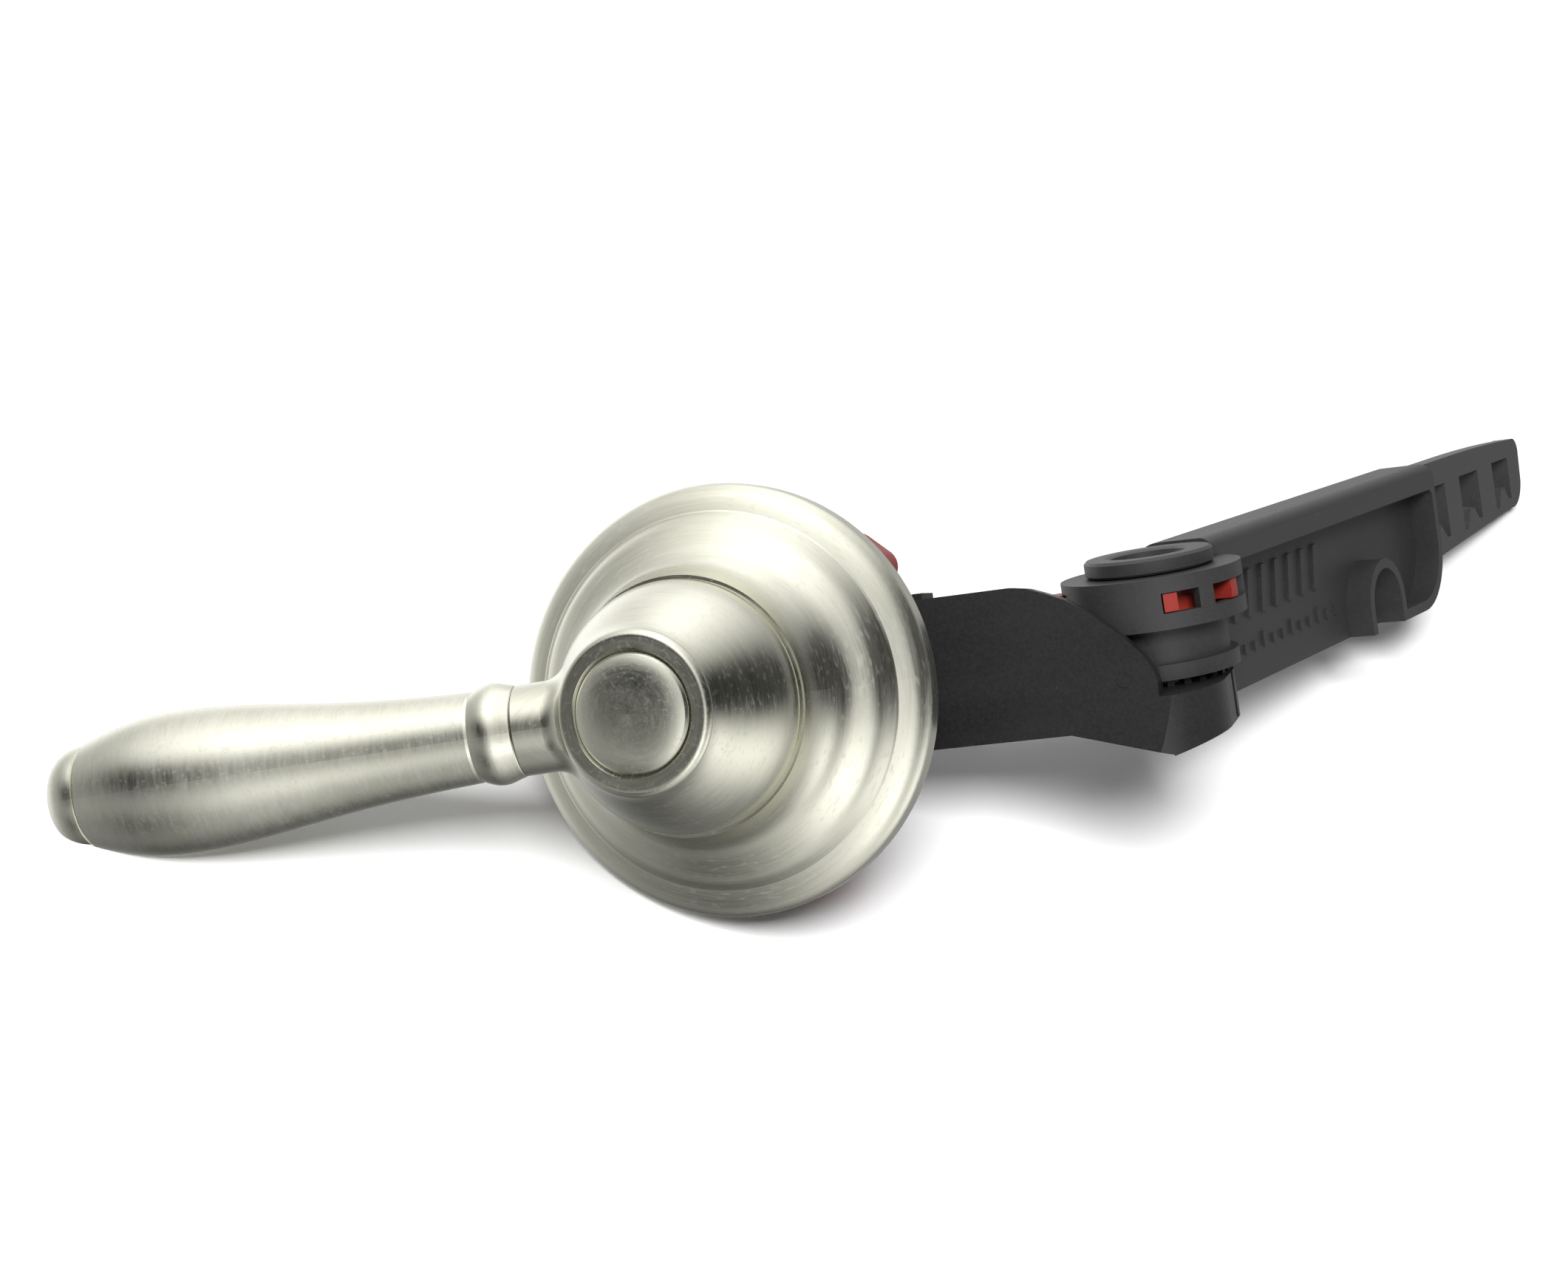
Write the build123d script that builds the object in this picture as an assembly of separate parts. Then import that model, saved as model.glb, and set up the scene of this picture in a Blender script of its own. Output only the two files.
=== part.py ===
from build123d import *
import os
from math import cos, sin, radians, degrees, pi, sqrt

os.makedirs("parts", exist_ok=True)

# Tank flush lever with a round bell escutcheon and a swivelling, telescoping arm.
# Millimetres. The shaft axis is Y and the outer face of the tank wall is y = 0:
# -Y is the room, +Y the inside of the tank, +Z is up, and the grip points to -X.

# ---- bell escutcheon
RIM_R = 28.5            # outside radius of the bell
RIM_BACK_Y = -0.4       # back edge of the rim; the gasket stands 0.4 proud of it
BELL_TOP_Y = -17.7      # flat land under the handle hub
BELL_TOP_R = 16.5
BELL_WALL = 2.0

# ---- shank, nut and washer
SHANK_R = 9.4           # crest radius of the thread
THREAD_DEPTH = 0.75
THREAD_PITCH = 2.5
SHANK_END_Y = 21.2
SQUARE_BOSS = 18.6      # seats in a square tank hole
SQUARE_BOSS_LEN = 4.2
WALL_THICK = 10.0       # tank wall held between gasket and washer
WASHER_T = 1.5
NUT_T = 7.0
NUT_BODY_R = 13.6
NUT_WING_R = 25.2
NUT_WINGS = 3

# ---- shaft
SHAFT_R = 4.5
SHAFT_SQ = 6.2
RUN = 0.06              # radial running clearance

# ---- handle hub and grip
DOME_R = 16.0           # radius of the dome where it meets the bell
DOME_BASE_Y = -17.95
DOME_FRONT_Y = -32.9
CAP_R = 7.4
NECK_Y = -22.6          # the grip's axis crosses the shaft axis here
GRIP_ANGLE = 12.5       # the grip leans out from the wall
GRIP_DROOP = 1.9        # and hangs slightly below level
NECK_R = 5.7
GRIP_START = 18.4       # distances along the grip from the shaft axis
GRIP_END = 75.0
TIP_END = 80.7

# ---- inner arm
ARM_FRONT_Y = 22.0
ARM_HALF_H = 10.5
ARM_DEPTH = 8.5
ARM_WALL = 2.2
HUB_X, HUB_Y, HUB_Z = 50.0, 37.8, 0.6
HUB_TILT = 7.5          # the swivel axis leans to the room, so the outer arm climbs away from the wall

# ---- swivel hub, in heights above the shaft axis
CUP_R = 9.5
CUP_BOTTOM_Z, CUP_TOP_Z = -13.4, -5.0
FLANGE_R = 10.7
FLANGE_Z0, FLANGE_Z1 = -4.0, -1.8
BARREL_R = 9.6
RING_R = 12.6
RING_Z0, RING_Z1 = 3.2, 10.3
SWIVEL_CAP_R = 9.0
SWIVEL_CAP_Z0, SWIVEL_CAP_Z1 = 10.5, 12.8
PIN_R = 4.0
SWIVEL_ANGLE = 73.0     # the outer arm, turned from +X towards +Y

# ---- outer arm: a sleeve and the blade that slides in it, distances from the hub axis
SLEEVE_END = 97.5
SLEEVE_Z0, SLEEVE_Z1 = -11.2, 13.1
PANEL_FRONT = -1.0      # across the sleeve; negative is the side facing the room
RIM_FRONT = -5.2
SLEEVE_BACK = 5.4
BLADE_Y0, BLADE_Y1 = 0.7, 4.4
BLADE_Z0, BLADE_Z1 = -5.9, 11.9
BLADE_START, BLADE_END = 58.0, 159.6
SLOT_PITCH = 17.6
SLOT_LAST = 148.4
SLOT_W = 10.0

SHAFT_AXIS = Axis.Y


def revolve_y(points):
    """Solid of revolution about the shaft axis from (radius, y) points."""
    return revolve(make_face(Polyline(*points, close=True)), Axis.Y)


def revolve_z(points):
    """Solid of revolution about Z from (radius, z) points."""
    wire = Polyline(*[(r, 0, z) for r, z in points], close=True)
    return revolve(make_face(wire), Axis.Z)


def rod_y(radius, y0, y1):
    """Cylinder along the shaft axis."""
    return extrude(Plane.XZ.offset(-y0) * Circle(radius), -(y1 - y0))


def tube_y(outer, inner, y0, y1):
    return rod_y(outer, y0, y1) - rod_y(inner, y0 - 1, y1 + 1)


def prism_y(sketch, y0, y1):
    """Sketch drawn in (x, z), swept from y0 to y1."""
    return extrude(Plane.XZ.offset(-y0) * sketch, -(y1 - y0))


def rod_z(radius, z0, z1):
    return Pos(0, 0, z0) * extrude(Circle(radius), z1 - z0)


def prism_z(sketch, z0, z1):
    return Pos(0, 0, z0) * extrude(sketch, z1 - z0)


def block(x0, x1, y0, y1, z0, z1):
    return Pos((x0 + x1) / 2, (y0 + y1) / 2, (z0 + z1) / 2) * Box(x1 - x0, y1 - y0, z1 - z0)


def sector(r0, r1, a0, a1, z0, z1):
    """Ring segment about Z between two angles in degrees."""
    pts = [(0, 0)] + [
        (2 * r1 * cos(radians(a0 + (a1 - a0) * i / 4)), 2 * r1 * sin(radians(a0 + (a1 - a0) * i / 4)))
        for i in range(5)
    ]
    wedge = make_face(Polyline(*pts, close=True))
    return prism_z((Circle(r1) - Circle(r0)) & wedge, z0, z1)


def safe_fillet(solid, edges, radius):
    """Round the edges, or leave them sharp where the kernel can't."""
    try:
        done = fillet(edges, radius)
        return done if len(done.solids()) == 1 and done.volume > 0 else solid
    except Exception:
        return solid


def single(shape):
    """The one solid of a node."""
    solids = shape.solids()
    assert len(solids) == 1, len(solids)
    return solids[0]


PARTS = {}

# ============================================================ escutcheon
outer = Spline([(24.65, -6.55), (24.05, -7.45), (23.1, -8.6), (21.8, -9.45), (20.2, -10.3), (18.6, -11.7),
                (17.4, -14.0), (16.75, -16.2), (BELL_TOP_R, BELL_TOP_Y)])
rim = Spline([(RIM_R, -3.0), (28.3, -4.1), (27.6, -5.0), (26.3, -5.8), (24.9, -6.35)])
edge = (
    Polyline((27.9, RIM_BACK_Y), (RIM_R, -1.0), (RIM_R, -3.0))
    + rim
    + Line((24.9, -6.35), (24.65, -6.55))
    + outer
    + Polyline(
        (BELL_TOP_R, BELL_TOP_Y), (10.3, BELL_TOP_Y), (10.3, BELL_TOP_Y + 2.0), (14.4, BELL_TOP_Y + 2.0),
        (15.2, -13.4), (16.6, -10.6), (19.0, -8.1), (22.4, -6.6), (25.2, -4.2), (26.6, -3.4),
        (26.6, RIM_BACK_Y), (27.9, RIM_BACK_Y),
    )
)
PARTS["escutcheon"] = revolve(make_face(edge), Axis.Y)

# ============================================================ gasket
gasket = rod_y(26.2, -1.6, 0) - prism_y(RectangleRounded(19.2, 19.2, 1.6), -3, 1)
PARTS["escutcheon_gasket"] = gasket

# ============================================================ threaded shank
flange = rod_y(26.2, -3.2, -1.65)
front_tube = rod_y(9.9, -17.6, -3.0)
rib_plate = block(8.5, 14.0, -13.0, -3.0, -0.8, 0.8)
ring_ribs = [Rot(0, 60 * k, 0) * rib_plate for k in range(6)]
boss = prism_y(RectangleRounded(SQUARE_BOSS, SQUARE_BOSS, 1.4), -1.7, SQUARE_BOSS_LEN)
stem = rod_y(SHANK_R, -1.7, SHANK_END_Y)
shank = flange + front_tube + boss + stem
for r in ring_ribs:
    shank += r
groove_count = int((SHANK_END_Y - SQUARE_BOSS_LEN - 1.2) / THREAD_PITCH)
for k in range(groove_count):
    y = SQUARE_BOSS_LEN + 1.6 + k * THREAD_PITCH
    shank -= revolve_y([
        (SHANK_R + 0.3, y - 0.85), (SHANK_R + 0.3, y + 0.85),
        (SHANK_R - THREAD_DEPTH, y + 0.3), (SHANK_R - THREAD_DEPTH, y - 0.3),
    ])
shank -= revolve_y([(SHANK_R - 0.9, SHANK_END_Y + 0.01), (SHANK_R + 0.5, SHANK_END_Y + 0.01),
                    (SHANK_R + 0.5, SHANK_END_Y - 1.4)])
shank -= rod_y(SHAFT_R + RUN, -20, SHANK_END_Y + 5)
PARTS["threaded_shank"] = shank

# ============================================================ nut and washer
washer_y = WALL_THICK
PARTS["nut_washer"] = tube_y(15.6, SHANK_R + 0.08, washer_y, washer_y + WASHER_T)

nut_y = washer_y + WASHER_T + 0.05
nut = rod_y(NUT_BODY_R, nut_y, nut_y + NUT_T)
wing = prism_y(
    Pos((NUT_WING_R + 9) / 2, 0) * RectangleRounded(NUT_WING_R - 9, 9.0, 2.6), nut_y + 0.6, nut_y + NUT_T - 0.4)
for k in range(NUT_WINGS):
    nut += Rot(0, -48 - 360 / NUT_WINGS * k, 0) * wing
skirt = revolve_y([(NUT_BODY_R - 0.6, nut_y), (15.4, nut_y), (15.4, nut_y + 1.6), (NUT_BODY_R - 0.6, nut_y + 2.6)])
nut += skirt
nut -= rod_y(SHANK_R + 0.07, nut_y - 1, nut_y + NUT_T + 1)
for k in range(2):
    y = nut_y + 1.9 + k * THREAD_PITCH
    nut -= revolve_y([
        (SHANK_R - 0.5, y - 0.7), (SHANK_R - 0.5, y + 0.7), (SHANK_R + 0.75, y + 0.25), (SHANK_R + 0.75, y - 0.25)])
nut -= revolve_y([(11.2, nut_y + NUT_T + 0.1), (12.4, nut_y + NUT_T + 0.1), (12.4, nut_y + NUT_T - 2.0),
                  (11.2, nut_y + NUT_T - 2.0)])
PARTS["mounting_nut"] = nut

# ============================================================ shaft
shaft = rod_y(SHAFT_R, -17.4, 21.75)
shaft += prism_y(RectangleRounded(SHAFT_SQ, SHAFT_SQ, 0.5), -24.0, -17.4)
shaft += prism_y(RectangleRounded(SHAFT_SQ, SHAFT_SQ, 0.5), 21.75, 29.4)
shaft -= rod_y(2.05, -25, -12.0)
shaft -= rod_y(2.05, 17.5, 30.0)
PARTS["shaft"] = shaft

PARTS["thrust_washer"] = tube_y(9.6, 4.75, -17.9, -17.65)

# ============================================================ handle hub with its neck
dome_edge = (
    Line((0, DOME_BASE_Y), (DOME_R - 0.25, DOME_BASE_Y))
    + Line((DOME_R - 0.25, DOME_BASE_Y), (DOME_R, DOME_BASE_Y - 0.3))
    + Spline([(DOME_R, DOME_BASE_Y - 0.3), (15.85, -19.8), (15.1, -22.3), (13.7, -25.3), (11.9, -28.4),
              (10.6, -30.7), (10.15, -31.9)])
    + Spline([(10.15, -31.9), (10.0, -32.4), (9.6, -32.8), (9.1, DOME_FRONT_Y)])
    + Polyline((9.1, DOME_FRONT_Y), (7.85, DOME_FRONT_Y), (7.5, DOME_FRONT_Y + 0.35), (0, DOME_FRONT_Y + 0.35),
               (0, DOME_BASE_Y))
)
dome = revolve(make_face(dome_edge), Axis.Y)
# local +X runs out along the grip
grip_frame = Location((0, NECK_Y, 0)) * Rot(0, -GRIP_DROOP, 0) * Rot(0, 0, 180 + GRIP_ANGLE)


def along_grip(points):
    """Solid of revolution about the grip's axis from (distance, radius) points or an edge chain."""
    chain = points if not isinstance(points, list) else Polyline(*points, close=True)
    return grip_frame * revolve(make_face(chain), Axis.X)


neck = along_grip([(0, 0), (GRIP_START - 0.06, 0), (GRIP_START - 0.06, NECK_R - 0.1),
                   (GRIP_START - 0.2, NECK_R), (0, NECK_R)])
hub = dome + neck
seam = [e for e in hub.edges()
        if e.bounding_box().max.X < -8.0 and e.bounding_box().size.Z > 4.0
        and e.bounding_box().min.X > -16.5 and e.geom_type == GeomType.BSPLINE]
hub = safe_fillet(hub, seam, 3.2)
hub -= prism_y(RectangleRounded(SHAFT_SQ + 0.1, SHAFT_SQ + 0.1, 0.5), -24.2, -10)
hub -= rod_y(2.3, -32, -20)
hub -= rod_y(7.0, -36, -27.4)
hub -= rod_y(CAP_R + 0.08, -36, -30.9)
hub -= along_grip([(9.9, 0), (30, 0), (30, 2.55), (9.9, 2.55)])
PARTS["handle_hub"] = hub

cap_profile = (
    Polyline((0, -32.0), (6.0, -32.0), (6.0, -29.4), (6.9, -29.4), (6.9, -31.0), (CAP_R, -31.0),
             (CAP_R, -32.7), (CAP_R - 0.35, -33.1))
    + Spline([(CAP_R - 0.35, -33.1), (5.6, -33.55), (2.8, -33.85), (0, -33.95)])
    + Line((0, -33.95), (0, -32.0))
)
PARTS["hub_cap"] = revolve(make_face(cap_profile), Axis.Y)

PARTS["hub_screw_washer"] = tube_y(5.6, 2.3, -28.15, -27.4)
screw = rod_y(3.7, -29.5, -28.2) + rod_y(2.0, -28.2, -13.5)
screw -= prism_y(Rectangle(5.0, 0.9) + Rectangle(0.9, 5.0), -29.7, -28.9)
PARTS["hub_screw"] = screw

# ============================================================ grip
BEAD_MID, BEAD_END = 21.1, 23.9
grip_edge = (
    Polyline((GRIP_START, 2.55), (GRIP_START, NECK_R - 0.1), (GRIP_START + 0.15, NECK_R))
    + Spline([(GRIP_START + 0.15, NECK_R), (GRIP_START + 1.3, 6.05), (BEAD_MID + 0.2, 6.4), (BEAD_END - 1.0, 6.1),
              (BEAD_END, 5.65)])
    + Line((BEAD_END, 5.65), (BEAD_END + 0.35, 5.72))
    + Spline([(BEAD_END + 0.35, 5.72), (31.7, 6.12), (41.0, 6.95), (50.3, 8.15), (57.5, 8.95), (63.2, 9.15),
              (67.8, 8.8), (71.6, 7.95), (GRIP_END - 0.2, 6.95)])
    + Polyline((GRIP_END - 0.2, 6.95), (GRIP_END, 6.65), (GRIP_END, 3.05), (GRIP_END - 9.0, 3.05),
               (GRIP_END - 9.0, 0), (37.0, 0), (37.0, 2.55), (GRIP_START, 2.55))
)
PARTS["handle_grip"] = along_grip(grip_edge)
stud = along_grip([(10.1, 0), (36.8, 0), (36.8, 2.2), (36.5, 2.5), (10.4, 2.5), (10.1, 2.2)])
PARTS["grip_stud"] = stud
tip_edge = (
    Polyline((GRIP_END - 8.6, 0), (GRIP_END - 8.6, 2.98), (GRIP_END + 0.06, 2.98), (GRIP_END + 0.06, 6.35),
             (GRIP_END + 0.35, 6.62))
    + Spline([(GRIP_END + 0.35, 6.62), (GRIP_END + 2.6, 6.15), (GRIP_END + 4.3, 4.75), (GRIP_END + 5.3, 2.7),
              (TIP_END, 0)], tangents=[(1, 0.05), (0, -1)])
    + Line((TIP_END, 0), (GRIP_END - 8.6, 0))
)
PARTS["grip_tip"] = along_grip(tip_edge)

# ============================================================ inner arm
top_cut = [(33.2, 10.5), (35.6, 10.1), (37.4, 9.4), (40.6, 8.0), (44.2, 5.4), (48.2, 1.9), (50.4, -0.6),
           (51.5, -2.6), (52.0, -4.4)]
plate_outline = Polyline((0, ARM_HALF_H), *top_cut, (52.0, -10.5), (0, -ARM_HALF_H), (0, ARM_HALF_H))
plate_face = make_face(plate_outline) + Circle(ARM_HALF_H)
plate = prism_y(plate_face, ARM_FRONT_Y, ARM_FRONT_Y + 3.3)
hub_frame = Location((HUB_X, HUB_Y, HUB_Z)) * Rot(HUB_TILT, 0, 0)
box_end = 29.5
box = prism_y(Pos(box_end / 2, 0) * Rectangle(box_end, 2 * ARM_HALF_H) + Circle(ARM_HALF_H),
              ARM_FRONT_Y + 3.0, ARM_FRONT_Y + ARM_DEPTH)
pocket_size = (box_end - ARM_WALL - 9.0, 2 * (ARM_HALF_H - ARM_WALL))
pocket = prism_y(Pos((9.0 + box_end - ARM_WALL) / 2, 0) * RectangleRounded(*pocket_size, 1.5),
                 ARM_FRONT_Y + 3.3, ARM_FRONT_Y + ARM_DEPTH + 1)
web = block(8.0, box_end, ARM_FRONT_Y + 3.0, ARM_FRONT_Y + ARM_DEPTH - 0.8, -0.8, 0.8)
arm = plate + (box - pocket) + web
# cup under the swivel hub: a round socket blended into the flat front of the arm
front = ARM_FRONT_Y - HUB_Y - 1.9       # stands proud of the arm's face, then is cut flush with it
cup_outline = make_face(
    Polyline((-20.0, front - 3.0), (0.8, front - 3.0), (0.8, front))
    + ThreePointArc((0.8, front), (6.6, front + 3.4), (CUP_R, front + 10.5))
    + Line((CUP_R, front + 10.5), (CUP_R, 0))
    + ThreePointArc((CUP_R, 0), (0, CUP_R), (-CUP_R, 0))
    + Polyline((-CUP_R, 0), (-CUP_R, front + 8.9), (-20.0, front + 5.1), (-20.0, front - 3.0))
)
cup = prism_z(cup_outline, CUP_BOTTOM_Z, CUP_TOP_Z)
rise = prism_y(make_face(Polyline((2.0, CUP_BOTTOM_Z - 5), (2.0, CUP_BOTTOM_Z),
                                  (CUP_R + 5, CUP_BOTTOM_Z + 2.9), (CUP_R + 5, CUP_BOTTOM_Z - 5),
                                  (2.0, CUP_BOTTOM_Z - 5))), -30, 30)
cup = hub_frame * (cup - rise)
cup -= block(0, 60, -20, ARM_FRONT_Y, -40, 20)
low = [e for e in cup.edges() if e.center().Z < CUP_BOTTOM_Z + 2.6 and e.bounding_box().size.Z < 3.6]
cup = safe_fillet(cup, low, 1.8)
# the cup's floor runs up to the arm's lower edge
ramp = prism_y(make_face(Polyline((25.0, -19.0), (25.0, -ARM_HALF_H), (39.5, -ARM_HALF_H), (53.0, -14.5),
                                  (53.0, -19.0), (25.0, -19.0))), ARM_FRONT_Y - 1, HUB_Y + 15)
cup -= ramp
arm += cup
# relief behind the front plate for the turning hub
arm -= hub_frame * rod_z(RING_R + 0.5, CUP_TOP_Z, 20)
# ring of detent teeth on the cup
teeth = []
for k in range(24):
    a = 360 / 24 * k
    teeth.append(Rot(0, 0, a) * block(CUP_R - 2.6, CUP_R - 0.5, -0.5, 0.5, CUP_TOP_Z - 0.2, CUP_TOP_Z + 0.8))
for t in teeth:
    arm += hub_frame * t
# slot in the cup's wall, raised mould mark and the pad by the rim
arm -= hub_frame * Rot(0, 0, -9) * block(CUP_R - 0.7, 14.0, -0.8, 0.8, CUP_TOP_Z - 6.4, CUP_TOP_Z + 3)
arm += Pos(47.5, 0, -3.8) * rod_y(0.95, ARM_FRONT_Y - 0.25, ARM_FRONT_Y + 1.0)
arm += block(14.0, 20.5, ARM_FRONT_Y + 1.0, ARM_FRONT_Y + 6.5, ARM_HALF_H - 0.5, ARM_HALF_H + 0.9)
# bores
arm -= prism_y(RectangleRounded(SHAFT_SQ + 0.08, SHAFT_SQ + 0.08, 0.5), 20, 29.6)
arm -= rod_y(2.3, 28, 40)
arm -= hub_frame * rod_z(PIN_R - 0.9 + 0.04, CUP_BOTTOM_Z + 1.4, 5)
PARTS["inner_arm"] = arm

PARTS["arm_screw_washer"] = tube_y(5.4, 2.3, ARM_FRONT_Y + ARM_DEPTH + 0.05, ARM_FRONT_Y + ARM_DEPTH + 0.85)
tail_y = ARM_FRONT_Y + ARM_DEPTH + 0.9
tail_screw = rod_y(3.7, tail_y, tail_y + 2.3) + rod_y(2.0, 18.5, tail_y)
tail_screw -= prism_y(Rectangle(5.0, 0.9) + Rectangle(0.9, 5.0), tail_y + 1.5, tail_y + 3)
PARTS["arm_screw"] = tail_screw

# ============================================================ swivel hub pieces, about Z at the hub
hub_at = hub_frame
arm_dir = hub_frame * Rot(0, 0, SWIVEL_ANGLE)      # local +X runs out along the outer arm

pin = revolve_z([(0, CUP_BOTTOM_Z + 1.6), (PIN_R - 0.9, CUP_BOTTOM_Z + 1.6), (PIN_R - 0.9, CUP_TOP_Z + 0.03),
                 (PIN_R, CUP_TOP_Z + 0.03), (PIN_R, SWIVEL_CAP_Z0 - 0.05), (2.4, SWIVEL_CAP_Z0 - 0.05),
                 (2.4, SWIVEL_CAP_Z0 + 1.0), (0, SWIVEL_CAP_Z0 + 1.0)])
PARTS["swivel_pin"] = hub_at * pin
cap = revolve_z([(0, SWIVEL_CAP_Z0), (SWIVEL_CAP_R - 0.3, SWIVEL_CAP_Z0), (SWIVEL_CAP_R, SWIVEL_CAP_Z0 + 0.3),
                 (SWIVEL_CAP_R, SWIVEL_CAP_Z1 - 0.4), (SWIVEL_CAP_R - 0.4, SWIVEL_CAP_Z1),
                 (6.0, SWIVEL_CAP_Z1), (5.3, SWIVEL_CAP_Z1 - 0.3), (5.1, SWIVEL_CAP_Z1 - 1.1),
                 (0, SWIVEL_CAP_Z1 - 1.1)])
cap -= rod_z(2.44, SWIVEL_CAP_Z0 - 1, SWIVEL_CAP_Z0 + 1.05)
PARTS["swivel_cap"] = hub_at * cap
PARTS["swivel_washer"] = hub_at * (rod_z(6.6, CUP_TOP_Z + 0.05, FLANGE_Z0 - 0.05)
                                   - rod_z(PIN_R + 0.08, CUP_TOP_Z - 1, FLANGE_Z0 + 1))

# windows in the hub's ring, (start, end) angles from the outer arm's direction
WINDOWS = [(-147.5, -123.0, 5.4, 8.2), (-112.0, -66.0, 5.4, 8.2), (107.0, 137.0, 6.5, 8.9)]
LUGS = [(-146.3, -137.3), (-92.5, -83.0)]
TAB = (110.0, 126.0)
TAB_R, TAB_Z0, TAB_Z1 = 14.3, 6.7, 8.75
CAVITY_R = 11.0
LOCK_R = 8.7
LOCK_Z0, LOCK_Z1 = 4.6, 8.9
WIN_Z0, WIN_Z1 = 5.4, 8.2

sleeve = rod_z(RING_R, RING_Z0, RING_Z1) + rod_z(BARREL_R, FLANGE_Z1, RING_Z0)
sleeve += rod_z(FLANGE_R, FLANGE_Z0, FLANGE_Z1)

body = block(6.0, SLEEVE_END, PANEL_FRONT, SLEEVE_BACK, SLEEVE_Z0, SLEEVE_Z1)
far_corners = [e for e in body.edges().filter_by(Axis.Y) if e.center().X > SLEEVE_END - 1]
low_far = [e for e in far_corners if e.center().Z < 0]
high_far = [e for e in far_corners if e.center().Z > 0]
body = safe_fillet(body, low_far, 11.0)
high_far = [e for e in body.edges().filter_by(Axis.Y) if e.center().X > SLEEVE_END - 1 and e.center().Z > 12]
body = safe_fillet(body, high_far, 1.6)

# rim standing out from the panel: along the top, down the far end and back to the arch
ARCH_S, ARCH_R, ARCH_WALL = 70.5, 5.9, 1.6
ARCH_APEX_Z = -1.3
RIM_T = 1.7
RIM_H = 4.5             # height of the rim along the top
FAR_R = 11.0            # radius of the far lower corner
diag = FAR_R * (1 - sqrt(0.5))
rim_outer = prism_y(
    make_face(
        Polyline((9.6, SLEEVE_Z1 - RIM_H), (9.6, SLEEVE_Z1), (SLEEVE_END - 1.6, SLEEVE_Z1),
                 (SLEEVE_END, SLEEVE_Z1 - 1.6), (SLEEVE_END, SLEEVE_Z0 + FAR_R))
        + ThreePointArc((SLEEVE_END, SLEEVE_Z0 + FAR_R), (SLEEVE_END - diag, SLEEVE_Z0 + diag),
                        (SLEEVE_END - FAR_R, SLEEVE_Z0))
        + Polyline((SLEEVE_END - FAR_R, SLEEVE_Z0), (ARCH_S, SLEEVE_Z0), (ARCH_S, SLEEVE_Z1 - RIM_H),
                   (9.6, SLEEVE_Z1 - RIM_H))),
    RIM_FRONT, PANEL_FRONT + 0.5)
in_r = FAR_R - RIM_T
in_d = in_r * (1 - sqrt(0.5))
in_s, in_z = SLEEVE_END - RIM_T, SLEEVE_Z0 + RIM_T
rim_inner = prism_y(
    make_face(
        Polyline((ARCH_S - 1, in_z), (ARCH_S - 1, SLEEVE_Z1 - RIM_H), (in_s - 0.8, SLEEVE_Z1 - RIM_H),
                 (in_s, SLEEVE_Z1 - RIM_H - 0.8), (in_s, in_z + in_r))
        + ThreePointArc((in_s, in_z + in_r), (in_s - in_d, in_z + in_d), (in_s - in_r, in_z))
        + Line((in_s - in_r, in_z), (ARCH_S - 1, in_z))),
    RIM_FRONT - 1, PANEL_FRONT)
rim = rim_outer - rim_inner
arch_h = ARCH_APEX_Z - SLEEVE_Z0 - ARCH_R
arch_out = Pos(ARCH_S, SLEEVE_Z0 + arch_h / 2) * Rectangle(2 * (ARCH_R + ARCH_WALL), arch_h) \
    + Pos(ARCH_S, SLEEVE_Z0 + arch_h) * Circle(ARCH_R + ARCH_WALL) \
    - Pos(ARCH_S, SLEEVE_Z0 - 20) * Rectangle(60, 40)
arch_in = Pos(ARCH_S, SLEEVE_Z0 + arch_h / 2 - 2) * Rectangle(2 * ARCH_R, arch_h + 4) \
    + Pos(ARCH_S, SLEEVE_Z0 + arch_h) * Circle(ARCH_R)
arch_block = prism_y(arch_out, RIM_FRONT, PANEL_FRONT + 0.5)
arch_hole = prism_y(arch_in, RIM_FRONT - 1, PANEL_FRONT + 0.3)
body = body + rim + arch_block
# soften the top roll
top_edges = [e for e in body.edges().filter_by(Axis.X)
             if abs(e.center().Z - SLEEVE_Z1) < 0.01 and e.length > 50]
body = safe_fillet(body, [e for e in top_edges if e.center().Y < 0], 1.9)
body = safe_fillet(body, [e for e in body.edges().filter_by(Axis.X)
                          if abs(e.center().Z - SLEEVE_Z1) < 0.01 and e.length > 50 and e.center().Y > 2], 2.0)
body -= arch_hole

# clear the swivel cap, the lock ring and the cup
body -= rod_z(SWIVEL_CAP_R + 0.5, RING_Z1, 30)
body -= rod_z(CUP_R + 0.75, -30, FLANGE_Z0)
body -= block(-30, 12.0, -30, PANEL_FRONT - 0.001, SLEEVE_Z0 - 1, RING_Z1)
sleeve = sleeve + body
# blade channel
sleeve -= block(20.0, SLEEVE_END + 1, BLADE_Y0 - 0.12, BLADE_Y1 + 0.12, BLADE_Z0 - 0.12, BLADE_Z1 + 0.12)
# lightening pocket from below, and a window at the back that shows the blade
sleeve -= block(22.0, 60.0, 0.9, 3.9, SLEEVE_Z0 - 1, BLADE_Z0 - 1.8)
sleeve -= block(30.0, 86.0, 3.5, SLEEVE_BACK + 1, -1.5, 7.0)
# hub cavity, windows and bore
sleeve -= rod_z(CAVITY_R, 4.5, 9.0) - rod_z(6.6, 4.0, 9.5)
for a0, a1, z0, z1 in WINDOWS:
    sleeve -= sector(CAVITY_R - 0.5, RING_R + 2.0, a0, a1, z0, z1)
sleeve -= rod_z(PIN_R + RUN, -20, 20)
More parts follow.
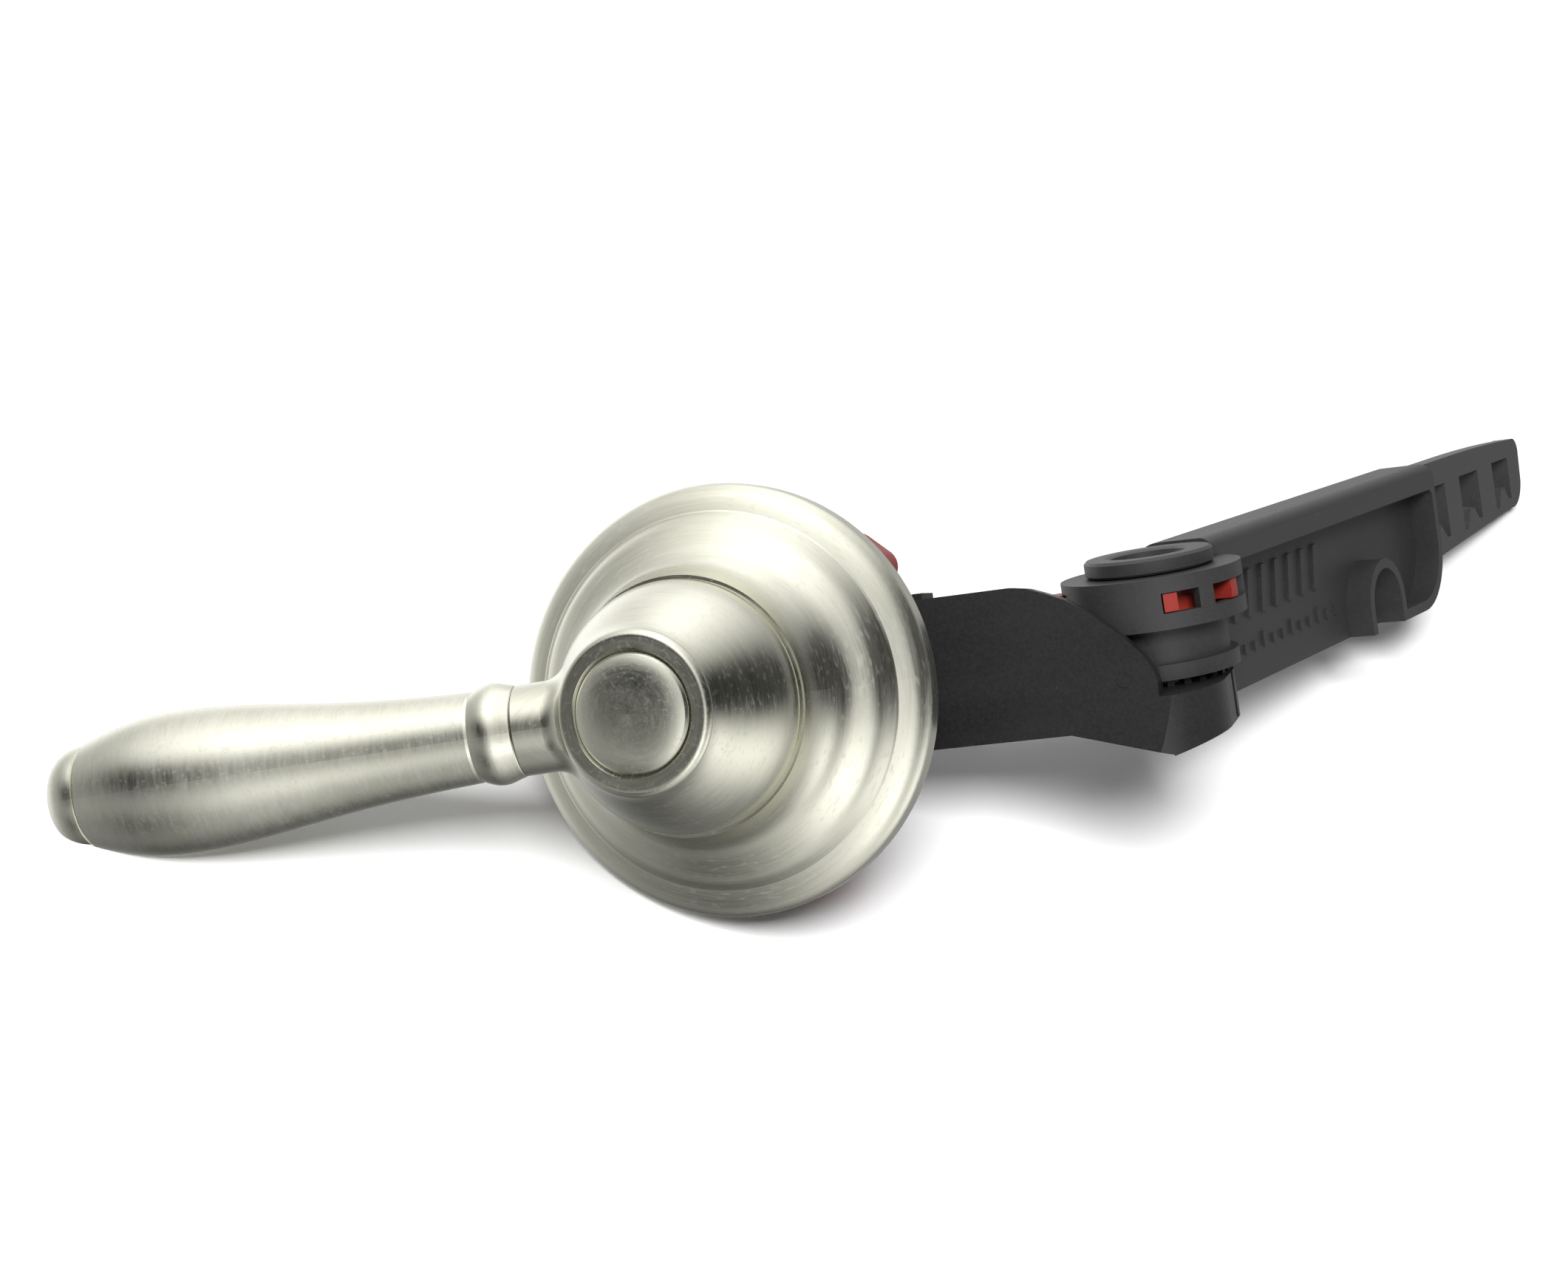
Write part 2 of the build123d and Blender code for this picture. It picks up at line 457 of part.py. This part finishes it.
# raised bars in place of lettering: slanted grip bars and a row of graduation pips
for k in range(7):
    x = 21.0 + 4.9 * k
    bar = prism_y(make_face(Polyline((x, -1.2), (x + 1.5, -1.2), (x + 3.2, 5.8), (x + 1.7, 5.8), (x, -1.2))),
                  PANEL_FRONT - 0.5, PANEL_FRONT + 0.3)
    sleeve += bar
for k in range(12):
    x = 20.0 + 3.4 * k
    h = 2.2 if k % 3 == 0 else 1.3
    sleeve += block(x, x + 0.8, PANEL_FRONT - 0.4, PANEL_FRONT + 0.3, -6.4, -6.4 + h)
PARTS["arm_sleeve"] = arm_dir * sleeve

lock = rod_z(LOCK_R, LOCK_Z0, LOCK_Z1) - rod_z(6.75, LOCK_Z0 - 1, LOCK_Z1 + 1)
for a0, a1 in LUGS:
    lock += sector(LOCK_R - 1.0, RING_R - 0.35, a0, a1, WIN_Z0 + 0.15, WIN_Z1 - 0.15)
tab = sector(LOCK_R - 1.0, TAB_R, TAB[0], TAB[1], TAB_Z0, TAB_Z1)
lock += tab
PARTS["lock_ring"] = arm_dir * lock

# ============================================================ telescoping blade with chain slots
blade_face = make_face(
    Polyline((BLADE_START, BLADE_Z0), (104.0, BLADE_Z0), (152.5, -1.9))
    + ThreePointArc((152.5, -1.9), (156.8, -0.9), (BLADE_END - 0.4, 2.6))
    + Line((BLADE_END - 0.4, 2.6), (BLADE_END, 8.2))
    + ThreePointArc((BLADE_END, 8.2), (158.8, 10.4), (156.4, 11.1))
    + Spline([(156.4, 11.1), (147.0, 11.5), (135.0, 11.8), (125.0, BLADE_Z1)])
    + Polyline((125.0, BLADE_Z1), (BLADE_START, BLADE_Z1), (BLADE_START, BLADE_Z0))
)
blade = prism_y(blade_face, BLADE_Y0, BLADE_Y1)
for k in range(5):
    s = SLOT_LAST - SLOT_PITCH * k
    w = SLOT_W / 2 - (0.5 if k == 0 else 0.0)
    lift = (2.4, 1.0, 0.0, 0.0, 0.0)[k]      # slot floors follow the taper
    zt, zl, zr, zv = 7.4 + lift / 5, -3.5 + lift, -2.4 + lift, -0.5 + lift
    slot = make_face(Polyline(
        (s - w, zt), (s + w, zt), (s + w, zr), (s + w - 1.7, zr), (s + 0.9, zv + 0.6), (s, zv), (s - 0.9, zv + 0.6),
        (s - w + 1.9, zl), (s - w, zl), (s - w, zt)))
    blade -= prism_y(slot, BLADE_Y0 - 1, BLADE_Y1 + 1)
blade -= block(BLADE_START + 4.0, BLADE_START + 5.0, BLADE_Y0 - 1, BLADE_Y1 + 1, -3.5, 9.0)
PARTS["extension_arm"] = arm_dir * blade

for name, shape in PARTS.items():
    export_step(single(shape), f"parts/{name}.step")
    print(name, round(shape.volume, 1))
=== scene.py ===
"""Looks of a tank flush lever: brushed nickel handle and bell, moulded black arm, red nut and lock ring.

Metres, in the shared frame: +Z up as installed, -Y towards the room, the grip towards -X.
"""

import math

import bpy
from mathutils import Matrix, Vector

MM = 0.001
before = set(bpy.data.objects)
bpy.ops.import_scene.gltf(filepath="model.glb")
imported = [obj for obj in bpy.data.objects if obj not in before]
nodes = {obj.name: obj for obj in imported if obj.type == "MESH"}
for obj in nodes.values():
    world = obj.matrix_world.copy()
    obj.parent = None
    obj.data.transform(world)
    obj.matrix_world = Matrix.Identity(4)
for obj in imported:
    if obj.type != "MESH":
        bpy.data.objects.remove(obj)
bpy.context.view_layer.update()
scene = bpy.context.scene

# Directions of the object's own axes, from its driving angles.
GRIP_ANGLE, GRIP_DROOP = math.radians(12.5), math.radians(1.9)
GRIP_ROOT = Vector((0, -22.6, 0)) * MM
GRIP_DIR = Vector((-math.cos(GRIP_ANGLE) * math.cos(GRIP_DROOP), -math.sin(GRIP_ANGLE),
                   -math.cos(GRIP_ANGLE) * math.sin(GRIP_DROOP))).normalized()
SHAFT_DIR = Vector((0, 1, 0))
HUB_TILT, SWIVEL = math.radians(7.5), math.radians(73)
ARM_DIR = Matrix.Rotation(HUB_TILT, 3, "X") @ Vector((math.cos(SWIVEL), math.sin(SWIVEL), 0))


# ------------------------------------------------------------------ node helpers
class Graph:
    """Short calls for the shader nodes this script uses."""

    def __init__(self, tree):
        self.tree = tree
        self.tree.nodes.clear()

    def node(self, kind, **props):
        n = self.tree.nodes.new("ShaderNode" + kind)
        for key, value in props.items():
            setattr(n, key, value)
        return n

    def put(self, socket, value):
        if isinstance(value, bpy.types.NodeSocket):
            self.tree.links.new(value, socket)
        elif value is not None:
            socket.default_value = value

    def math(self, op, a, b=None, c=None):
        n = self.node("Math", operation=op)
        for i, v in enumerate((a, b, c)):
            self.put(n.inputs[i], v)
        return n.outputs[0]

    def vmath(self, op, a, b=None, scale=None):
        n = self.node("VectorMath", operation=op)
        self.put(n.inputs[0], a)
        if b is not None:
            self.put(n.inputs[1], b)
        if scale is not None:
            self.put(n.inputs["Scale"], scale)
        return n.outputs["Value"] if op in ("DOT_PRODUCT", "LENGTH") else n.outputs["Vector"]

    def vector(self, x, y, z):
        n = self.node("CombineXYZ")
        for i, v in enumerate((x, y, z)):
            self.put(n.inputs[i], v)
        return n.outputs[0]

    def noise(self, at, scale, detail=2.0, rough=0.5, distortion=0.0):
        n = self.node("TexNoise")
        self.put(n.inputs["Vector"], at)
        n.inputs["Scale"].default_value = scale
        n.inputs["Detail"].default_value = detail
        n.inputs["Roughness"].default_value = rough
        n.inputs["Distortion"].default_value = distortion
        return n.outputs["Fac"]

    def cells(self, at, scale):
        n = self.node("TexVoronoi", feature="F1")
        self.put(n.inputs["Vector"], at)
        n.inputs["Scale"].default_value = scale
        return n.outputs["Distance"]

    def spread(self, value, low, high, to_low=0.0, to_high=1.0):
        """Map low..high to to_low..to_high, held at the ends."""
        n = self.node("MapRange", clamp=True)
        self.put(n.inputs["Value"], value)
        ends = {"From Min": low, "From Max": high, "To Min": to_low, "To Max": to_high}
        for name, v in ends.items():
            self.put(n.inputs[name], v)
        return n.outputs[0]

    def blend(self, fac, a, b):
        n = self.node("Mix", data_type="RGBA", clamp_factor=True)
        self.put(n.inputs["Factor"], fac)
        self.put(n.inputs[6], a)
        self.put(n.inputs[7], b)
        return n.outputs[2]

    def bump(self, height, strength, distance):
        n = self.node("Bump")
        self.put(n.inputs["Height"], height)
        n.inputs["Strength"].default_value = strength
        n.inputs["Distance"].default_value = distance
        return n.outputs[0]

    def here(self):
        return self.node("TexCoord").outputs["Object"]


def rgba(r, g, b):
    return (r, g, b, 1.0)


def new_material(name):
    material = bpy.data.materials.new(name)
    material.use_nodes = True
    g = Graph(material.node_tree)
    shader = g.node("BsdfPrincipled")
    out = g.node("OutputMaterial")
    g.tree.links.new(shader.outputs[0], out.inputs["Surface"])
    return material, g, shader


def set_plain(shader, **values):
    """Numbers that are the same all over the surface, on the shader's own sockets."""
    for key, value in values.items():
        shader.inputs[key.replace("_", " ")].default_value = value


# ------------------------------------------------------------------ metals
FINE_BREAKS, BROAD_BREAKS, MARK_BREAKS = 3.5, 1.6, 16.0     # how often strokes break off round the axis
BRUSH_STRENGTH, BRUSH_DEPTH = 0.20, 0.008 * MM
TARNISH_SCALE = 55.0                                        # soft clouds, per metre


def brushed_metal(name, root, axis, light, dark, rough=0.24, aniso=0.45, pitch=0.32 * MM, lay=1.0):
    """Metal brushed round an axis: fine rings, broken into strokes, that drive colour, roughness and bump.

    pitch is the width of a stroke. lay is how far the rings follow the distance from the axis as well as
    the distance along it.
    """
    material, g, shader = new_material(name)
    axis = Vector(axis).normalized()
    side = axis.cross(Vector((0.3, 0.2, 1.0))).normalized()
    other = axis.cross(side)
    rel = g.vmath("SUBTRACT", g.here(), tuple(root))
    along = g.vmath("DOT_PRODUCT", rel, tuple(axis))
    spoke = g.vmath("SUBTRACT", rel, g.vmath("SCALE", tuple(axis), scale=along))
    radius = g.vmath("LENGTH", spoke)
    unit = g.vmath("NORMALIZE", spoke)
    u, v = g.vmath("DOT_PRODUCT", unit, tuple(side)), g.vmath("DOT_PRODUCT", unit, tuple(other))
    run = g.math("ADD", along, g.math("MULTIPLY", radius, lay))

    def strokes(width, breaks, detail, seed=0.0):
        at = g.vector(g.math("MULTIPLY", run, 1.0 / width), g.math("MULTIPLY_ADD", u, breaks, seed),
                      g.math("MULTIPLY", v, breaks))
        return g.noise(at, 1.0, detail, 0.6)

    fine = strokes(pitch, FINE_BREAKS, 2.0)
    broad = strokes(pitch * 5, BROAD_BREAKS, 2.0, seed=4.0)
    long_marks = g.spread(strokes(pitch * 1.6, MARK_BREAKS, 0.0, seed=9.0), 0.62, 0.72)
    cloud = g.spread(g.noise(g.here(), TARNISH_SCALE, 3.0, 0.55), 0.3, 0.7)
    grain = g.math("ADD", g.math("MULTIPLY", fine, 0.6), g.math("MULTIPLY", broad, 0.4))

    tone = g.math("ADD", g.math("MULTIPLY", g.spread(grain, 0.3, 0.7), 0.55),
                  g.math("MULTIPLY", cloud, 0.45))
    g.put(shader.inputs["Base Color"], g.blend(tone, dark, light))

    wear = g.math("ADD", g.spread(grain, 0.25, 0.75, rough - 0.07, rough + 0.09),
                  g.math("MULTIPLY", long_marks, 0.08))
    g.put(shader.inputs["Roughness"], g.math("ADD", wear, g.spread(cloud, 0.0, 1.0, -0.03, 0.03)))

    height = g.math("SUBTRACT", grain, g.math("MULTIPLY", long_marks, 0.35))
    g.put(shader.inputs["Normal"], g.bump(height, BRUSH_STRENGTH, BRUSH_DEPTH))
    g.put(shader.inputs["Tangent"], g.vmath("NORMALIZE", g.vmath("CROSS_PRODUCT", tuple(axis), unit)))
    set_plain(shader, Metallic=1.0, Anisotropic=aniso)
    return material


def plated_steel(name):
    """Zinc plate with machining rings round the shaft's axis."""
    return brushed_metal(name, (0, 0, 0), SHAFT_DIR, rgba(0.66, 0.67, 0.69), rgba(0.40, 0.40, 0.42),
                         rough=0.34, aniso=0.3, pitch=0.22 * MM)


# ------------------------------------------------------------------ plastics
SKIN_SCALE, PIT_SCALE, FLOW_SCALE, PATCH_SCALE = 1900.0, 1300.0, 70.0, 120.0    # per metre
SCUFF_SCALES = (900.0, 220.0, 1400.0)       # per metre, so the scuffs run along the shaft's direction
FLOW_STRETCH = 0.8                          # share of the run along the piece that the flow marks ignore


def moulded(name, light, dark, rough, flow_dir=None, grain=0.035, speck=0.0):
    """Injection-moulded plastic: spark-eroded grain, soft flow marks and pale handling scuffs.

    The flow marks are drawn out along flow_dir. grain is the depth of the skin in millimetres, and speck
    makes the scuffs paler.
    """
    material, g, shader = new_material(name)
    here = g.here()
    skin = g.noise(here, SKIN_SCALE, 3.0, 0.65)
    skin_tone = g.spread(skin, 0.35, 0.65)
    pits = g.cells(here, PIT_SCALE)
    flow_at = here
    if flow_dir is not None:
        d = Vector(flow_dir).normalized()
        along = g.vmath("DOT_PRODUCT", here, tuple(d))
        flow_at = g.vmath("SUBTRACT", here, g.vmath("SCALE", tuple(d * FLOW_STRETCH), scale=along))
    flow = g.spread(g.noise(flow_at, FLOW_SCALE, 3.0, 0.55, 0.6), 0.3, 0.7)
    scuffs = g.spread(g.noise(g.vmath("MULTIPLY", here, SCUFF_SCALES), 1.0, 2.0, 0.6, 0.4), 0.66, 0.78)
    scuffs = g.math("MULTIPLY", scuffs, g.spread(g.noise(here, PATCH_SCALE, 2.0), 0.45, 0.7))

    tone = g.math("ADD", g.math("MULTIPLY", flow, 0.6), g.math("MULTIPLY", skin_tone, 0.4))
    colour = g.blend(tone, dark, light)
    pale = tuple(min(1.0, c * 2.2 + 0.02) for c in light[:3]) + (1.0,)
    colour = g.blend(g.math("MULTIPLY", scuffs, 0.35 + speck), colour, pale)
    g.put(shader.inputs["Base Color"], colour)

    wear = g.math("ADD", g.spread(flow, 0.0, 1.0, rough - 0.05, rough + 0.06),
                  g.math("MULTIPLY", scuffs, 0.12))
    g.put(shader.inputs["Roughness"], g.math("ADD", wear, g.spread(skin_tone, 0.0, 1.0, -0.04, 0.04)))

    height = g.math("ADD", g.math("MULTIPLY", skin, 0.7), g.math("MULTIPLY", pits, 0.5))
    g.put(shader.inputs["Normal"], g.bump(height, 0.5, grain * MM))
    set_plain(shader, Metallic=0.0, IOR=1.5)
    return material


# ------------------------------------------------------------------ finishes
NICKEL_LIGHT, NICKEL_DARK = rgba(0.71, 0.705, 0.62), rgba(0.54, 0.535, 0.44)
bell_nickel = brushed_metal("nickel_round_the_shaft", (0, 0, 0), SHAFT_DIR, NICKEL_LIGHT, NICKEL_DARK)
grip_nickel = brushed_metal("nickel_round_the_grip", GRIP_ROOT, GRIP_DIR, NICKEL_LIGHT, NICKEL_DARK,
                            lay=0.3)
zinc = plated_steel("zinc_plate")
black_arm = moulded("black_moulding", rgba(0.015, 0.015, 0.0155), rgba(0.008, 0.008, 0.0085), 0.42,
                    flow_dir=(1, 0, 0))
black_sleeve = moulded("black_sleeve_moulding", rgba(0.030, 0.030, 0.031), rgba(0.018, 0.018, 0.019), 0.46,
                       flow_dir=ARM_DIR)
grey_blade = moulded("dark_grey_moulding", rgba(0.042, 0.042, 0.043), rgba(0.027, 0.027, 0.028), 0.45,
                     flow_dir=ARM_DIR)
red = moulded("red_moulding", rgba(0.25, 0.024, 0.017), rgba(0.17, 0.017, 0.012), 0.42)
nylon = moulded("natural_nylon", rgba(0.78, 0.76, 0.70), rgba(0.66, 0.64, 0.57), 0.45)
rubber = moulded("gasket_sheet", rgba(0.032, 0.032, 0.033), rgba(0.018, 0.018, 0.018), 0.78,
                 grain=0.06, speck=0.2)

LOOKS = {
    "escutcheon": bell_nickel, "handle_hub": bell_nickel, "hub_cap": bell_nickel,
    "handle_grip": grip_nickel, "grip_tip": grip_nickel,
    "shaft": zinc, "hub_screw_washer": zinc, "hub_screw": zinc, "grip_stud": zinc,
    "arm_screw_washer": zinc, "arm_screw": zinc,
    "threaded_shank": black_arm, "inner_arm": black_arm, "swivel_pin": black_arm,
    "swivel_cap": black_sleeve, "arm_sleeve": black_sleeve, "extension_arm": grey_blade,
    "mounting_nut": red, "lock_ring": red,
    "nut_washer": nylon, "thrust_washer": nylon, "swivel_washer": nylon,
    "escutcheon_gasket": rubber,
}
for node_name, obj in nodes.items():
    for slot in obj.material_slots:
        slot.material = LOOKS[node_name]

# ------------------------------------------------------------------ camera
CAM_AZIMUTH, CAM_ELEVATION, CAM_ROLL = math.radians(20.61), math.radians(-0.81), math.radians(-6.87)
CAM_RIGHT, CAM_UP, CAM_BACK = 6.608 * MM, 7.629 * MM, 290.87 * MM      # from the shaft's origin
CAM_LENS, CAM_SENSOR = 50.3, 36.0
level = math.cos(CAM_ELEVATION)
back = Vector((math.sin(CAM_AZIMUTH) * level, -math.cos(CAM_AZIMUTH) * level, math.sin(CAM_ELEVATION)))
flat_right = Vector((math.cos(CAM_AZIMUTH), math.sin(CAM_AZIMUTH), 0))
flat_up = back.cross(flat_right)
right = flat_right * math.cos(CAM_ROLL) + flat_up * math.sin(CAM_ROLL)
up = back.cross(right)
camera = bpy.data.objects.new("camera", bpy.data.cameras.new("camera"))
scene.collection.objects.link(camera)
turn = Matrix((right, up, back)).transposed()
camera_at = right * CAM_RIGHT + up * CAM_UP + back * CAM_BACK
camera.matrix_world = Matrix.Translation(camera_at) @ turn.to_4x4()
camera.data.sensor_width = CAM_SENSOR
camera.data.lens = CAM_LENS
camera.data.clip_start, camera.data.clip_end = 0.01, 20.0
scene.camera = camera

# ------------------------------------------------------------------ stage
# The floor touches the bell's rim and the blade's tip. It cuts about 4 mm into the grip's end.
FLOOR_UP = Vector((0.5213, -0.4608, 0.7183)).normalized()
FLOOR_DROP = -24.85 * MM                                    # its distance below the origin
FLOOR_MIDDLE = Vector((25, 20, -20)) * MM                   # dropped onto the plane below
FLOOR_SIZE = 0.9
FADE_FROM, FADE_TO, FADE_CURVE = 0.45, 0.95, 1.5            # shares of half the floor's size


def floor_material():
    """Matt white that fades out towards its edges, and shows nothing from below."""
    material, g, shader = new_material("stage_floor")
    here = g.here()
    reach = g.math("DIVIDE", g.vmath("LENGTH", here), FLOOR_SIZE * 0.5)
    clear = g.node("BsdfTransparent")
    mixed = g.node("MixShader")
    fade = g.math("POWER", g.spread(reach, FADE_FROM, FADE_TO), FADE_CURVE)
    below = g.node("NewGeometry").outputs["Backfacing"]
    g.put(mixed.inputs[0], g.math("MAXIMUM", fade, below))
    g.tree.links.new(shader.outputs[0], mixed.inputs[1])
    g.tree.links.new(clear.outputs[0], mixed.inputs[2])
    out = next(n for n in g.tree.nodes if n.type == "OUTPUT_MATERIAL")
    g.tree.links.new(mixed.outputs[0], out.inputs["Surface"])
    speckle = g.noise(here, 800.0, 2.0)
    g.put(shader.inputs["Base Color"], g.blend(speckle, rgba(0.90, 0.90, 0.90), rgba(0.93, 0.93, 0.93)))
    set_plain(shader, Roughness=0.9)
    return material


floor_mesh = bpy.data.meshes.new("floor")
half = FLOOR_SIZE / 2
floor_corners = [(-half, -half, 0), (half, -half, 0), (half, half, 0), (-half, half, 0)]
floor_mesh.from_pydata(floor_corners, [], [(0, 1, 2, 3)])
floor_mesh.materials.append(floor_material())
floor = bpy.data.objects.new("floor", floor_mesh)
scene.collection.objects.link(floor)
floor_turn = FLOOR_UP.to_track_quat("Z", "Y").to_matrix()
on_floor = FLOOR_MIDDLE + FLOOR_UP * (FLOOR_DROP - FLOOR_MIDDLE.dot(FLOOR_UP))
floor.matrix_world = Matrix.Translation(on_floor) @ floor_turn.to_4x4()
floor.visible_glossy = False        # the metal mirrors the studio's cards instead

# ------------------------------------------------------------------ light
STUDIO_UP = Vector((0.536, -0.504, 0.677)).normalized()
side = back.cross(STUDIO_UP).normalized()          # to the picture's left
front = STUDIO_UP.cross(side).normalized()         # level, towards the camera
BASE_LIGHT, LEAST_LIGHT = 0.46, 0.04
AMBIENT = 0.22                                     # share of the studio's light that fills the shadows

# Soft patches in what the metal mirrors: (degrees to the left of the camera, degrees up, tightness,
# brightness). A negative brightness is a dark gap between the studio's cards.
PATCHES = [
    (130, 50, 6, 1.15), (165, 25, 12, 0.85), (75, 60, 10, 1.20), (20, 75, 9, 0.30), (-165, 45, 10, 0.35),
    (-20, 14, 14, 1.75), (-80, -8, 12, 1.20), (-40, -20, 10, 0.50),
    (150, -25, 10, 1.00), (100, -40, 10, 0.65),
    (50, 34, 12, -0.80), (70, 12, 18, -0.15), (-110, 30, 9, -0.85), (-60, 50, 12, -0.75),
    (15, -28, 14, -0.30), (0, -90, 4, -0.35), (0, 37, 40, 0.20),
]


def studio_world():
    """White behind the part for the camera, and the studio's patches for every other ray."""
    world = bpy.data.worlds.new("studio")
    world.use_nodes = True
    g = Graph(world.node_tree)
    way = g.node("TexCoord").outputs["Generated"]
    strength = BASE_LIGHT
    for turn_deg, rise_deg, tight, bright in PATCHES:
        t, r = math.radians(turn_deg), math.radians(rise_deg)
        level_way = side * math.sin(t) + front * math.cos(t)
        middle = level_way * math.cos(r) + STUDIO_UP * math.sin(r)
        toward = g.math("SUBTRACT", g.vmath("DOT_PRODUCT", way, tuple(middle)), 1.0)
        patch = g.math("EXPONENT", g.math("MULTIPLY", toward, float(tight)))
        strength = g.math("MULTIPLY_ADD", patch, bright, strength)
    strength = g.math("MAXIMUM", strength, LEAST_LIGHT)
    rays = g.node("LightPath").outputs
    seen, lit = g.node("Background"), g.node("Background")
    seen.inputs["Color"].default_value = rgba(1, 1, 1)
    lit.inputs["Color"].default_value = rgba(1, 1, 1)
    dim = g.spread(rays["Is Diffuse Ray"], 0.0, 1.0, 1.0, AMBIENT)
    g.put(lit.inputs["Strength"], g.math("MULTIPLY", strength, dim))
    pick = g.node("MixShader")
    g.put(pick.inputs[0], rays["Is Camera Ray"])
    g.tree.links.new(lit.outputs[0], pick.inputs[1])
    g.tree.links.new(seen.outputs[0], pick.inputs[2])
    g.tree.links.new(pick.outputs[0], g.node("OutputWorld").inputs["Surface"])
    return world


def softbox(name, spot, size, power):
    """A rectangular lamp at (left, up, near) metres, aimed at the shaft."""
    place = side * spot[0] + STUDIO_UP * spot[1] + front * spot[2]
    lamp_data = bpy.data.lights.new(name, "AREA")
    lamp_data.shape = "RECTANGLE"
    lamp_data.size, lamp_data.size_y = size
    lamp_data.energy = power
    lamp = bpy.data.objects.new(name, lamp_data)
    scene.collection.objects.link(lamp)
    lamp.matrix_world = Matrix.Translation(place) @ place.to_track_quat("Z", "Y").to_matrix().to_4x4()
    return lamp


scene.world = studio_world()
key = softbox("key", spot=(0.10, 1.16, 0.62), size=(0.66, 0.50), power=28.0)
key.visible_glossy = False          # the patches are what the metal mirrors

scene.view_settings.view_transform = "Standard"
